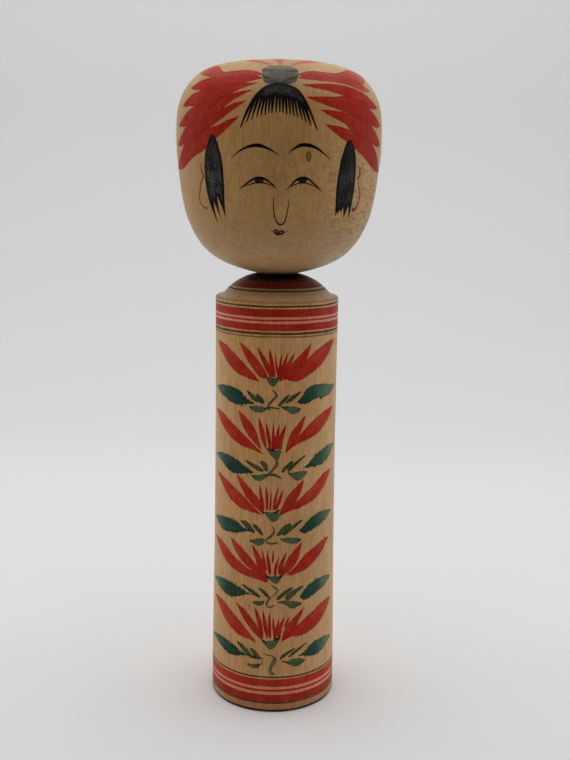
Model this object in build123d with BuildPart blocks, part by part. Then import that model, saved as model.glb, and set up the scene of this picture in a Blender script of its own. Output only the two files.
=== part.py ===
from build123d import *
import os

# A turned wooden doll in two pieces: a head with its own neck tenon, and a body with the socket
# that the tenon is forced into.  Millimetres, +Z up, origin at the centre of the base, face
# towards -Y.  Every outline below is half a section, drawn as (radius, height), and is turned
# about Z as the wood is on the lathe.

# ---- driving dimensions ----
total_height = 303.0            # one shaku, the size class of the doll

# body: a round column, a little wider at the base than under the shoulder
base_radius = 30.3
lower_radius = 29.4             # at lower_height
lower_height = 75.0
waist_radius = 28.9             # at waist_height, and again at the shoulder
waist_height = 150.0
shoulder_height = 196.3         # where the straight side of the column ends
base_edge_round = 0.7           # rounding of the bottom edge
base_rim_width = 6.0            # the doll stands on this rim
base_hollow_depth = 0.5         # the underside inside the rim is turned slightly hollow

# shoulder: a narrow ledge, then the dome that the head sits on
ledge_edge_round = 1.3          # rounding of the shoulder's outer edge
ledge_inner_radius = 25.4
ledge_inner_height = 198.1
dome_middle_radius = 19.0
dome_middle_height = 204.0
dome_top_radius = 9.3
dome_top_height = 207.8

# head: a round form, widest above the middle and flattened on top
head_widest_radius = 46.9
head_widest_height = 270.0
head_seat_radius = 9.3          # flat round the neck that bears on the dome's top
seat_gap = 0.2                  # play between the head's seat and the dome's top

# neck tenon and its undercut socket
neck_radius = 8.0
bulb_radius = 9.5
bulb_top_height = 196.6         # full bulb radius from here
bulb_low_height = 191.0         # down to here
bulb_tip_height = 186.0
bulb_tip_radius = 7.0
neck_slope = 1.5                # height of the slope between neck and bulb
running_clearance = 0.05        # radial, between tenon and socket
bulb_end_play = 0.1             # between the bulb's slope and the socket's
socket_floor_height = 184.0

# ---- outlines worked out from the dimensions above ----
head_seat_height = dome_top_height + seat_gap
mouth_radius = neck_radius + running_clearance
chamber_radius = bulb_radius + running_clearance
chamber_full_height = bulb_top_height + bulb_end_play
mouth_low_height = chamber_full_height + neck_slope
neck_low_height = bulb_top_height + neck_slope

column_side = [
    (waist_radius, shoulder_height),
    (waist_radius, waist_height),
    (lower_radius, lower_height),
    (base_radius, base_edge_round),
]
head_lower_curve = [
    (head_seat_radius, head_seat_height),
    (20.0, 210.9),
    (31.6, 217.0),
    (39.7, 227.7),
    (44.8, 245.5),
    (46.3, 258.0),
    (head_widest_radius, head_widest_height),
]
head_upper_curve = [
    (head_widest_radius, head_widest_height),
    (43.7, 288.6),
    (34.9, 298.0),
    (18.0, 302.2),
    (0.0, total_height),
]


# ---- body: column, shoulder, dome and socket, turned from one piece ----
with BuildPart() as body:
    with BuildSketch(Plane.XZ):
        with BuildLine():
            # underside
            rim_inner_radius = base_radius - base_rim_width
            Line((0, base_hollow_depth), (rim_inner_radius - 1.0, base_hollow_depth))
            Line((rim_inner_radius - 1.0, base_hollow_depth), (rim_inner_radius, 0))
            Line((rim_inner_radius, 0), (base_radius - base_edge_round, 0))
            RadiusArc((base_radius - base_edge_round, 0), (base_radius, base_edge_round), -base_edge_round)
            # side of the column, with the small outward sweep towards the base
            Spline(*reversed(column_side), tangents=[(0, 1), (0, 1)])
            # shoulder edge, ledge and dome
            ledge_outer = (waist_radius - ledge_edge_round, shoulder_height + ledge_edge_round)
            RadiusArc((waist_radius, shoulder_height), ledge_outer, -ledge_edge_round)
            Line(ledge_outer, (ledge_inner_radius, ledge_inner_height))
            ThreePointArc((ledge_inner_radius, ledge_inner_height),
                          (dome_middle_radius, dome_middle_height),
                          (dome_top_radius, dome_top_height))
            # dome's top face, socket mouth, slope, chamber and socket floor
            Polyline((dome_top_radius, dome_top_height),
                     (mouth_radius, dome_top_height),
                     (mouth_radius, mouth_low_height),
                     (chamber_radius, chamber_full_height),
                     (chamber_radius, socket_floor_height),
                     (0, socket_floor_height),
                     (0, base_hollow_depth))
        make_face()
    revolve(axis=Axis.Z)
body.part.label = "body"


# ---- head: the head itself with its neck and locking bulb, turned from one piece ----
with BuildPart() as head:
    with BuildSketch(Plane.XZ):
        with BuildLine():
            # tenon from its tip up to the seat
            Polyline((0, bulb_tip_height),
                     (bulb_tip_radius, bulb_tip_height),
                     (bulb_radius, bulb_low_height),
                     (bulb_radius, bulb_top_height),
                     (neck_radius, neck_low_height),
                     (neck_radius, head_seat_height),
                     (head_seat_radius, head_seat_height))
            # chin and cheeks up to the widest part, then over the crown
            Spline(*head_lower_curve, tangents=[(1, 0.2), (0, 1)])
            Spline(*head_upper_curve, tangents=[(0, 1), (-1, 0)])
            Line((0, total_height), (0, bulb_tip_height))
        make_face()
    revolve(axis=Axis.Z)
head.part.label = "head"


os.makedirs("parts", exist_ok=True)
export_step(body.part, "parts/body.step")
export_step(head.part, "parts/head.step")
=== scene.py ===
import math
import random
from collections import namedtuple

import bpy
import numpy as np
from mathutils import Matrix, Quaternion, Vector
from mathutils.geometry import delaunay_2d_cdt


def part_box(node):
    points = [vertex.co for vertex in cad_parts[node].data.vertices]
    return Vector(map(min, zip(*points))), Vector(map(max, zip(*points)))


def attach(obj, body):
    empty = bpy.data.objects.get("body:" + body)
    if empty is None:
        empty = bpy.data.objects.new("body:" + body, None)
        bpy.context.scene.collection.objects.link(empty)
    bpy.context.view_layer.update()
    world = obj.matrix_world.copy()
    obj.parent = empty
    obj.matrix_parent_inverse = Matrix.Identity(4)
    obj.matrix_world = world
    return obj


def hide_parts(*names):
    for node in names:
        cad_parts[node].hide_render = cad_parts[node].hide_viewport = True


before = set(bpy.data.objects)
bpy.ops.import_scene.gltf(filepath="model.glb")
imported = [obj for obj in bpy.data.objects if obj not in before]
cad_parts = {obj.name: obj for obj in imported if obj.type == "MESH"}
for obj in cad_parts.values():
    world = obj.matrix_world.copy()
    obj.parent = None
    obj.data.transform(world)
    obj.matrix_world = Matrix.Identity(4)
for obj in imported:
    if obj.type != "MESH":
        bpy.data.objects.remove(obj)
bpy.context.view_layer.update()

# The looks of a turned and painted wooden doll.  The wood is a fine turned mesh that follows the
# CAD node's outline, and every brush stroke is its own thin film of dye lying in the wood's skin.
# Lengths in this script are millimetres and are turned into metres when a mesh is made.

MM = 0.001
SKIN = 0.05                     # the wood lies this far inside the CAD surface, the paint fills it
RED_TOP, GREEN_TOP, BLACK_TOP = 0.025, 0.015, 0.005     # depth of each colour's face under it
FILM_ROOT = 0.11                # depth of the underside of every film, inside the wood
COLUMN_RADIUS = 29.2            # radius on which widths on the column are counted
FACE_MM_PER_DEGREE = 0.80       # length of one degree round the face

FILM_CELL = 1.2                 # size of the triangles inside a film
CLEAR_OF_EDGE = 0.3             # least way from such a triangle's corner to the outline, in cells
MERGE_BELOW = 1e-5              # corners this close become one

BAND_SEGMENTS = 288             # corners of a band, once round
BAND_ROW = 0.5                  # height of one row of a band's faces
BAND_WOBBLE = 0.06              # how far a band's edges wander
ROUGHNESS = 0.16                # how far dye creeps past the edge of a band

NECK_RADIUS = 9.2               # the neck and the socket's mouth are narrower than this
BULB_RADIUS = 9.6               # the neck's bulb and the socket round it are narrower than this
HIDDEN_LOW, HIDDEN_HIGH = 100.0, 250.0      # neck, bulb and socket lie between these heights
FOOT_RADIUS, FOOT_HEIGHT = 25.0, 1.0        # the hollow underside lies inside these
SHOULDER_HEIGHT = 195.0         # the body's outline is cut finer from here up
CHEEK_HEIGHT = 255.0            # the head's outline is put in order by its angle from here
DOME_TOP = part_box("body")[1][2] / MM

COLUMN_STEP, SHOULDER_STEP, HEAD_STEP = 1.2, 0.3, 1.0   # size of the wood's faces, bottom to top
BODY_SEGMENTS, HEAD_SEGMENTS = 240, 288                 # and how many go round it

chance = random.Random(11)


# ---------- lines and outlines ----------

def lengths_along(points):
    """Distance from the first point to each point, along the line."""
    steps = np.hypot(*np.diff(points, axis=0).T)
    return np.concatenate([[0.0], np.cumsum(steps)])


def smooth_line(points, step):
    """A smooth curve through the points, cut into even parts of about that step."""
    points = np.asarray(points, float)
    knots = lengths_along(points)
    slopes = np.gradient(points, knots, axis=0, edge_order=2 if len(points) > 2 else 1)
    fine = np.linspace(0, knots[-1], max(10, int(knots[-1] / step)))
    k = np.clip(np.searchsorted(knots, fine, "right") - 1, 0, len(knots) - 2)
    span = (knots[k + 1] - knots[k])[:, None]
    u = (fine - knots[k])[:, None] / span
    return ((1 + 2 * u) * (1 - u) ** 2 * points[k] + u * (1 - u) ** 2 * span * slopes[k]
            + u * u * (3 - 2 * u) * points[k + 1] - u * u * (1 - u) * span * slopes[k + 1])


def left_normals(line):
    """Unit vectors to the left of a line's direction."""
    run = np.gradient(line, axis=0)
    run /= np.linalg.norm(run, axis=1)[:, None] + 1e-9
    return np.stack([-run[:, 1], run[:, 0]], 1)


class Turned:
    """The outer surface of a turned piece, along its outline from the lower to the upper end."""

    def __init__(self, node, outline):
        self.node = node
        self.outline = outline
        self.along = lengths_along(outline)
        self.normals = -left_normals(outline)

    def at_height(self, height):
        return np.interp(height, self.outline[:, 1], self.along)

    def at_radius(self, radius):
        """Place on the upper part, where the radius falls towards the end."""
        upper = slice(int(np.argmax(self.outline[:, 0])), None)
        return np.interp(-radius, -self.outline[upper, 0], self.along[upper])

    def place(self, azimuth, along, depth):
        """Points in metres, depth under the surface.  Azimuth 0 is the front, -Y."""
        radius = np.interp(along, self.along, self.outline[:, 0])
        height = np.interp(along, self.along, self.outline[:, 1])
        radius = radius - depth * np.interp(along, self.along, self.normals[:, 0])
        height = height - depth * np.interp(along, self.along, self.normals[:, 1])
        return np.stack([radius * np.sin(azimuth), -radius * np.cos(azimuth), height], 1) * MM


def section_of(node):
    """Every (radius, height) on a turned CAD node, in no order."""
    corners = np.array([v.co[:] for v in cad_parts[node].data.vertices]) / MM
    section = np.stack([np.hypot(corners[:, 0], corners[:, 1]), corners[:, 2]], 1)
    return np.unique(section.round(4), axis=0)


def evenly(points, step):
    along = lengths_along(points)
    places = np.linspace(0, along[-1], max(2, int(along[-1] / step) + 1))
    return np.stack([np.interp(places, along, points[:, k]) for k in (0, 1)], 1)


def sunk(outline):
    """The outline moved into the wood by the skin's depth."""
    return outline + left_normals(outline) * SKIN


def is_hidden(section):
    """Which points lie on the neck, on its bulb or on the socket round them."""
    radius, height = section.T
    at_bulb = (radius < BULB_RADIUS) & (height < DOME_TOP - 1.0)
    return ((radius < NECK_RADIUS) | at_bulb) & (height > HIDDEN_LOW) & (height < HIDDEN_HIGH)


# body: underside, side with shoulder and dome, then the socket, from the axis to the axis
body_section = section_of("body")
in_socket = is_hidden(body_section)
underneath = (body_section[:, 0] < FOOT_RADIUS) & (body_section[:, 1] < FOOT_HEIGHT)
socket = body_section[in_socket]
socket = socket[np.lexsort((-socket[:, 0], -socket[:, 1]))]
under = body_section[underneath]
under = under[np.argsort(under[:, 0])]
side = body_section[~(in_socket | underneath)]
side = side[np.lexsort((-side[:, 0], side[:, 1]))]
shoulder = side[:, 1] > SHOULDER_HEIGHT
body_side = np.concatenate([evenly(side[~shoulder], COLUMN_STEP), evenly(side[shoulder], SHOULDER_STEP)])
body_surface = Turned("body", body_side)

# head: tenon from its tip up, then chin, cheeks and crown to the pole
head_section = section_of("head")
on_tenon = is_hidden(head_section)
tenon = head_section[on_tenon]
tenon = tenon[np.lexsort((tenon[:, 0], tenon[:, 1]))]
outer = head_section[~on_tenon]
outer = outer[np.argsort(np.arctan2(outer[:, 1] - CHEEK_HEIGHT, outer[:, 0]))]
head_side = evenly(outer, HEAD_STEP)
head_side[-1, 0] = 0.0
head_surface = Turned("head", head_side)


# ---------- meshes ----------

def make_object(name, points, faces, body, smooth_angle=35):
    mesh = bpy.data.meshes.new(name)
    mesh.from_pydata(points.tolist(), [], faces)
    mesh.validate()
    mesh.polygons.foreach_set("use_smooth", [True] * len(mesh.polygons))
    mesh.set_sharp_from_angle(angle=math.radians(smooth_angle))
    thing = bpy.data.objects.new(name, mesh)
    bpy.context.scene.collection.objects.link(thing)
    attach(thing, body)
    return thing


def lathe(name, section, segments, body):
    """A turned solid from a half section whose ends lie on the axis."""
    section = section[section[:, 0] > 0.02]
    turns = np.arange(segments) * 2 * np.pi / segments
    rings = [np.stack([r * np.sin(turns), -r * np.cos(turns), np.full(segments, z)], 1) for r, z in section]
    ends = [[0, 0, section[0, 1]], [0, 0, section[-1, 1]]]
    points = np.concatenate(rings + [ends]) * MM
    first, last = len(points) - 2, len(points) - 1
    top = (len(section) - 1) * segments
    faces = []
    for k in range(segments):
        n = (k + 1) % segments
        faces.append((first, n, k))
        faces.append((last, top + k, top + n))
        for ring in range(0, top, segments):
            faces.append((ring + k, ring + n, ring + segments + n, ring + segments + k))
    return make_object(name, points, faces, body)


def finish(thing, material):
    thing.data.materials.clear()
    thing.data.materials.append(material)


# ---------- brush strokes ----------

class Stroke:
    """A closed outline on a chart, with the line that the brush followed."""

    def __init__(self, outline, line):
        ahead = np.roll(outline, -1, 0)
        turns_left = (outline[:, 0] * ahead[:, 1] - outline[:, 1] * ahead[:, 0]).sum() > 0
        self.outline = outline if turns_left else outline[::-1]
        self.line = line


def brushed(points, widths, step=0.5):
    """A stroke along a line, as wide at its points as the widths say."""
    line = smooth_line(points, step)
    knots = lengths_along(np.asarray(points, float))
    knots *= lengths_along(line)[-1] / knots[-1]
    even = smooth_line(np.stack([knots, np.asarray(widths, float)], 1), step)
    half = np.interp(lengths_along(line), even[:, 0], even[:, 1].clip(0.02)) / 2
    side = left_normals(line) * half[:, None]
    return Stroke(np.concatenate([line - side, (line + side)[::-1]]), line)


def between(edge, other, step=0.5):
    """A petal or leaf between two edges from its root to its tip.  The second leaves the ends out."""
    one = smooth_line(edge, step)
    two = smooth_line([edge[0]] + other + [edge[-1]], step)
    places = np.linspace(0, 1, len(one))
    two = np.stack([np.interp(places, np.linspace(0, 1, len(two)), two[:, k]) for k in (0, 1)], 1)
    return Stroke(np.concatenate([two[:-1], one[::-1][:-1]]), (one + two) / 2)


def blot(corners, step=0.4):
    """A rounded patch through its corners."""
    ring = np.asarray(corners + corners[:3], float)
    line = smooth_line(ring, step)
    knots = lengths_along(ring)
    inside = (lengths_along(line) >= knots[1] - 1e-6) & (lengths_along(line) < knots[-2] - step / 2)
    outline = line[inside]
    middle = outline.mean(0)
    low, high = outline[:, 1].min(), outline[:, 1].max()
    return Stroke(outline, np.array([[middle[0], high], middle, [middle[0], low]]))


def bled(stroke, amount, cell=0.4):
    """Dye creeps outward along the upright grain, so edges that cross the grain get a spiky fringe."""
    outline = stroke.outline
    low = outline[:, 0].min() - 1
    count = int((outline[:, 0].max() - low) / cell) + 3
    spikes = [np.array([1.3 * chance.random() ** 2.5 - 0.2 for _ in range(count)]) for _ in range(2)]
    run = (np.roll(outline, -1, 0) - np.roll(outline, 1, 0))
    outward = -run[:, 0] / (np.hypot(*run.T) + 1e-9)
    where = (outline[:, 0] - low) / cell
    upper, lower = (np.interp(where, np.arange(count), table) for table in spikes)
    shift = outward * np.where(outward > 0, upper, lower) * amount
    stroke.outline = outline + np.stack([0 * shift, shift], 1)
    return stroke


def whisker(x, low, high, width=0.3):
    """A hair of dye drawn out along a pore."""
    return brushed([(x, low), (x + 0.05, (low + high) / 2), (x, high)], [width, width * 0.8, 0.02], 0.8)


def inside(points, polygon):
    """Which points lie in the polygon."""
    x, y = points[:, 0][:, None], points[:, 1][:, None]
    ax, ay = polygon[:, 0][None], polygon[:, 1][None]
    bx, by = np.roll(polygon[:, 0], -1)[None], np.roll(polygon[:, 1], -1)[None]
    crosses = ((ay > y) != (by > y)) & (x < (bx - ax) * (y - ay) / (by - ay + 1e-12) + ax)
    return crosses.sum(1) % 2 == 1


def edge_distance(points, polygon):
    a, b = polygon[None], np.roll(polygon, -1, 0)[None]
    run = b - a
    t = (((points[:, None] - a) * run).sum(2) / ((run ** 2).sum(2) + 1e-12)).clip(0, 1)
    return np.linalg.norm(points[:, None] - a - t[..., None] * run, axis=2).min(1)


def stroke_place(points, stroke):
    """(distance along the brush line, distance to its side, distance to the outline) of each point."""
    gap = points[:, None] - stroke.line[None]
    near = np.argmin((gap ** 2).sum(2), 1)
    side = (gap[np.arange(len(points)), near] * left_normals(stroke.line)[near]).sum(1)
    return np.stack([lengths_along(stroke.line)[near], side, edge_distance(points, stroke.outline)], 1)


def spots_inside(stroke, cell):
    """A staggered grid of points inside the stroke, clear of its outline."""
    low, high = stroke.outline.min(0), stroke.outline.max(0)
    grid = np.stack(np.meshgrid(np.arange(low[0], high[0], cell), np.arange(low[1], high[1], cell)), 2)
    grid[::2, :, 0] += cell / 2
    grid = grid.reshape(-1, 2)
    grid = grid[inside(grid, stroke.outline)]
    return grid[edge_distance(grid, stroke.outline) > cell * CLEAR_OF_EDGE]


def triangles(strokes, cell):
    """Points and triangles that fill the strokes together, and which strokes hold each triangle."""
    points = np.concatenate([s.outline for s in strokes] + [spots_inside(s, cell) for s in strokes])
    rings, start = [], 0
    for stroke in strokes:
        rings.append(list(range(start, start + len(stroke.outline))))
        start += len(stroke.outline)
    flat, _, faces, _, _, _ = delaunay_2d_cdt([tuple(p) for p in points], [], rings, 0, MERGE_BELOW)
    flat = np.array([tuple(spot) for spot in flat])
    faces = np.array(faces)
    held = np.array([inside(flat[faces].mean(1), stroke.outline) for stroke in strokes])
    painted = held.any(0)
    used = np.unique(faces[painted])
    return flat[used], np.searchsorted(used, faces[painted]), held[:, painted]


def brush_places(strokes, flat, faces, held):
    """The place on the brush stroke of each triangle's corners, by the last stroke that holds it."""
    owner = len(strokes) - 1 - np.argmax(held[::-1], 0)
    places = np.zeros((len(faces), 3, 3))
    for k, stroke in enumerate(strokes):
        mine = owner == k
        if mine.any():
            places[mine] = stroke_place(flat[faces[mine].ravel()], stroke).reshape(-1, 3, 3)
    return places


def store(mesh, coats, brush):
    """What the dyes read: the coats on each face, and each corner's place on its brush stroke."""
    layer = mesh.attributes.new("coats", "FLOAT", "FACE")
    layer.data.foreach_set("value", coats)
    layer = mesh.attributes.new("brush", "FLOAT_VECTOR", "CORNER")
    layer.data.foreach_set("vector", brush.ravel())


def film(name, strokes, chart, paint, cell=FILM_CELL):
    """A thin closed film of dye over the strokes.  Where strokes cross, the film knows how many."""
    flat, faces, held = triangles(strokes, cell)
    brush = brush_places(strokes, flat, faces, held)
    coats = held.sum(0).astype(float)

    edges = np.concatenate([faces[:, [0, 1]], faces[:, [1, 2]], faces[:, [2, 0]]])
    seen = {(a, b) for a, b in edges.tolist()}
    rim = np.array([k for k, (a, b) in enumerate(edges.tolist()) if (b, a) not in seen])
    start, end = edges[rim].T
    count = len(flat)
    walls = np.stack([end, start, start + count, end + count], 1)
    under = faces[:, ::-1] + count

    azimuth, along, surface = chart(flat)
    points = np.concatenate([surface.place(azimuth, along, depth) for depth in (paint.depth, FILM_ROOT)])
    thing = make_object(name, points, faces.tolist() + under.tolist() + walls.tolist(), surface.node)
    wall_places = np.zeros((4 * len(rim), 3))
    store(thing.data, np.concatenate([coats, coats, coats[rim % len(faces)]]),
          np.concatenate([brush.reshape(-1, 3), brush[:, ::-1].reshape(-1, 3), wall_places]))
    finish(thing, paint.material)


def band(name, low, high, paint):
    """A painted line or band all round the body, made by holding a brush to the turning wood."""
    rows = max(4, int((high - low) / BAND_ROW) + 1)
    places = np.linspace(low, high, rows)
    turns = np.arange(BAND_SEGMENTS) * 2 * np.pi / BAND_SEGMENTS
    lobes = [(chance.uniform(0, 6.3), chance.randint(2, 9)) for _ in range(4)]
    edge = sum(np.sin(turns * n + shift) for shift, n in lobes) * BAND_WOBBLE / 2
    rough = [np.array([chance.uniform(0, 1) ** 2 for _ in turns]) * ROUGHNESS for _ in range(2)]
    alongs = [place + np.zeros(BAND_SEGMENTS) for place in places]
    alongs[0] = alongs[0] + edge - rough[0]
    alongs[-1] = alongs[-1] + edge + rough[1]
    top = [body_surface.place(turns, along, paint.depth) for along in alongs]
    root = [body_surface.place(turns, along, FILM_ROOT) for along in alongs]
    rings = 2 * rows
    faces, brush = [], []
    for ring in range(rings):
        onward = (ring + 1) % rings
        for k in range(BAND_SEGMENTS):
            n = (k + 1) % BAND_SEGMENTS
            corners = (ring, k), (ring, n), (onward, n), (onward, k)
            faces.append([row * BAND_SEGMENTS + turn for row, turn in corners])
            for place, turn in ((ring, k), (ring, k + 1), (onward, k + 1), (onward, k)):
                height = places[min(place, rings - 1 - place)]
                round_it = turn * 2 * math.pi / BAND_SEGMENTS * COLUMN_RADIUS
                brush.append((round_it, height - low, min(height - low, high - height)))
    thing = make_object(name, np.concatenate(top + root[::-1]), faces, body_surface.node, 50)
    store(thing.data, [1.0] * len(faces), np.array(brush))
    finish(thing, paint.material)


# ---------- charts: where a flat drawing lies on the doll ----------

def column(points):
    """x mm round the column from the front, y mm height."""
    return points[:, 0] / COLUMN_RADIUS, body_surface.at_height(points[:, 1]), body_surface


def face(points):
    """x mm round the face at FACE_MM_PER_DEGREE, y mm height."""
    return np.radians(points[:, 0] / FACE_MM_PER_DEGREE), head_surface.at_height(points[:, 1]), head_surface


def crown(points):
    """The head seen from above and laid flat: distances from the pole are true, -y is the face."""
    away = np.hypot(points[:, 0], points[:, 1])
    return np.arctan2(points[:, 0], -points[:, 1]), head_surface.along[-1] - away, head_surface


# ---------- shader nodes ----------

class Graph:
    """Short names for the shader nodes used here."""

    def __init__(self, tree):
        self.tree = tree

    def add(self, kind, **settings):
        node = self.tree.nodes.new(kind)
        for key, value in settings.items():
            setattr(node, key, value)
        return node

    def put(self, socket, value):
        if isinstance(value, bpy.types.NodeSocket):
            self.tree.links.new(value, socket)
        else:
            socket.default_value = value

    def place(self):
        """The point's place on the doll in mm."""
        return self.vector("MULTIPLY", self.add("ShaderNodeTexCoord").outputs["Object"], (1000, 1000, 1000))

    def parts(self, value):
        node = self.add("ShaderNodeSeparateXYZ")
        self.put(node.inputs[0], value)
        return node.outputs

    def joined(self, values):
        node = self.add("ShaderNodeCombineXYZ")
        for socket, value in zip(node.inputs, values):
            self.put(socket, value)
        return node.outputs[0]

    def math(self, operation, a, b=0.0):
        node = self.add("ShaderNodeMath", operation=operation)
        self.put(node.inputs[0], a)
        self.put(node.inputs[1], b)
        return node.outputs[0]

    def product(self, first, *others):
        for other in others:
            first = self.math("MULTIPLY", first, other)
        return first

    def vector(self, operation, a, b=(0, 0, 0)):
        node = self.add("ShaderNodeVectorMath", operation=operation)
        self.put(node.inputs[0], a)
        self.put(node.inputs[1], b)
        return node.outputs["Value"] if operation in ("LENGTH", "DOT_PRODUCT") else node.outputs[0]

    def noise(self, place, scale, detail=2.0, roughness=0.5):
        """Noise of 0 to 1.  Scale is a number, or three numbers for stretched noise, per mm."""
        if isinstance(scale, tuple):
            place = self.vector("MULTIPLY", place, scale)
            scale = 1.0
        node = self.add("ShaderNodeTexNoise")
        self.put(node.inputs["Vector"], place)
        node.inputs["Scale"].default_value = scale
        node.inputs["Detail"].default_value = detail
        node.inputs["Roughness"].default_value = roughness
        return node.outputs["Fac"]

    def span(self, value, low, high, to_low=0.0, to_high=1.0, smooth=True):
        node = self.add("ShaderNodeMapRange", interpolation_type="SMOOTHSTEP" if smooth else "LINEAR")
        for socket, number in zip(node.inputs, (value, low, high, to_low, to_high)):
            self.put(socket, number)
        return node.outputs[0]

    def mix(self, share, a, b, blend="MIX"):
        node = self.add("ShaderNodeMix", data_type="RGBA", blend_type=blend)
        self.put(node.inputs[0], share)
        self.put(node.inputs[6], a)
        self.put(node.inputs[7], b)
        return node.outputs[2]

    def tint(self, base, share, red, green, blue):
        """The base colour times another one, by that share."""
        return self.mix(share, base, colour(red, green, blue), "MULTIPLY")


def colour(red, green, blue):
    return (red, green, blue, 1.0)


BODY_WOOD = colour(0.575, 0.312, 0.122)
HEAD_WOOD = colour(0.475, 0.268, 0.098)
RESIN = colour(0.125, 0.058, 0.016)
SOLID_INK = colour(0.006, 0.005, 0.004)

SEAT = (207.5, 208.2)           # the wood changes from the body's to the head's between these heights
CHIN = (240.0, 220.0)           # the chin's shade grows from the first height down to the second
PITH = (-34, 52, 0)             # the middle of the growth rings, which lies outside the doll
RING_WIDTH = 3.1
RESIN_MARK = (12.9, -44.6, 260.3)
LEFT_CHEEK = (0.87, -0.5, 0)    # the way from the axis to the rippled cheek
HEAD_RADIUS = 45.0


def wood_colour(g, place, on_head, chin_shade, to_left, z):
    """The wood's broad colour, from part to part of the doll, with its painted light and shade."""
    patch = g.noise(place, (0.035, 0.035, 0.02))
    warm = g.noise(g.vector("ADD", place, (50, 0, 90)), (0.06, 0.06, 0.03))
    base = g.mix(on_head, BODY_WOOD, HEAD_WOOD)
    base = g.tint(base, g.span(patch, 0.3, 0.7, 0.0, 0.8), 1.10, 1.10, 1.12)
    base = g.tint(base, g.span(warm, 0.35, 0.7, 0.0, 0.6), 0.97, 0.88, 0.80)

    # painted side light and sheen: the sides are paler than the front, most on the doll's left
    painted_side_sheen = g.math("ADD", g.span(to_left, 0.25, 0.92), g.span(to_left, -0.60, -0.97, 0.0, 0.80))
    base = g.tint(base, painted_side_sheen, 1.04, 1.18, 1.40)
    # reddish at the foot; painted shade of the head, greyer, on the shoulder's dome; a painted highlight,
    # paler, on its ledge; and painted shade, greyer, under the chin
    base = g.tint(base, g.span(z, 5.5, 3.5), 0.84, 0.68, 0.72)
    base = g.tint(base, g.product(g.span(z, 195.5, 199.5), g.span(z, 208.0, 207.6)), 0.76, 0.84, 1.02)
    base = g.tint(base, g.product(g.span(z, 196.4, 197.6), g.span(z, 200.5, 198.5)), 1.10, 1.24, 1.52)
    base = g.tint(base, chin_shade, 0.88, 0.97, 1.20)
    # painted highlight: the top of the crown paler and bluer, where the top light falls
    return g.tint(base, g.product(on_head, g.span(z, 280.0, 297.0)), 1.0, 1.10, 1.38)


def late_wood(g, place):
    """The dark side of the growth rings."""
    sway = g.product(g.noise(place, (0.03, 0.03, 0.008)), 9.0)
    from_pith = g.vector("MULTIPLY", g.vector("SUBTRACT", place, PITH), (1, 1, 0))
    across = g.math("ADD", g.vector("LENGTH", from_pith), sway)
    ring = g.math("FRACT", g.math("DIVIDE", across, RING_WIDTH))
    return g.product(g.span(ring, 0.35, 0.93), g.span(ring, 1.0, 0.93))


def ripple(g, place, chin_shade, z):
    """Rippled figure on the doll's left cheek: short dark waves across the grain."""
    sideways = g.math("DIVIDE", g.vector("DOT_PRODUCT", place, LEFT_CHEEK), HEAD_RADIUS)
    cheek = g.product(g.span(sideways, 0.66, 0.98), g.span(z, 216.0, 232.0), g.span(z, 272.0, 254.0))
    cheek = g.math("ADD", cheek, g.product(chin_shade, 0.35))
    wave = g.span(g.noise(place, (0.20, 0.20, 0.95), 2.0, 0.6), 0.42, 0.62, -0.4, 0.6)
    return g.product(wave, cheek)


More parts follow.
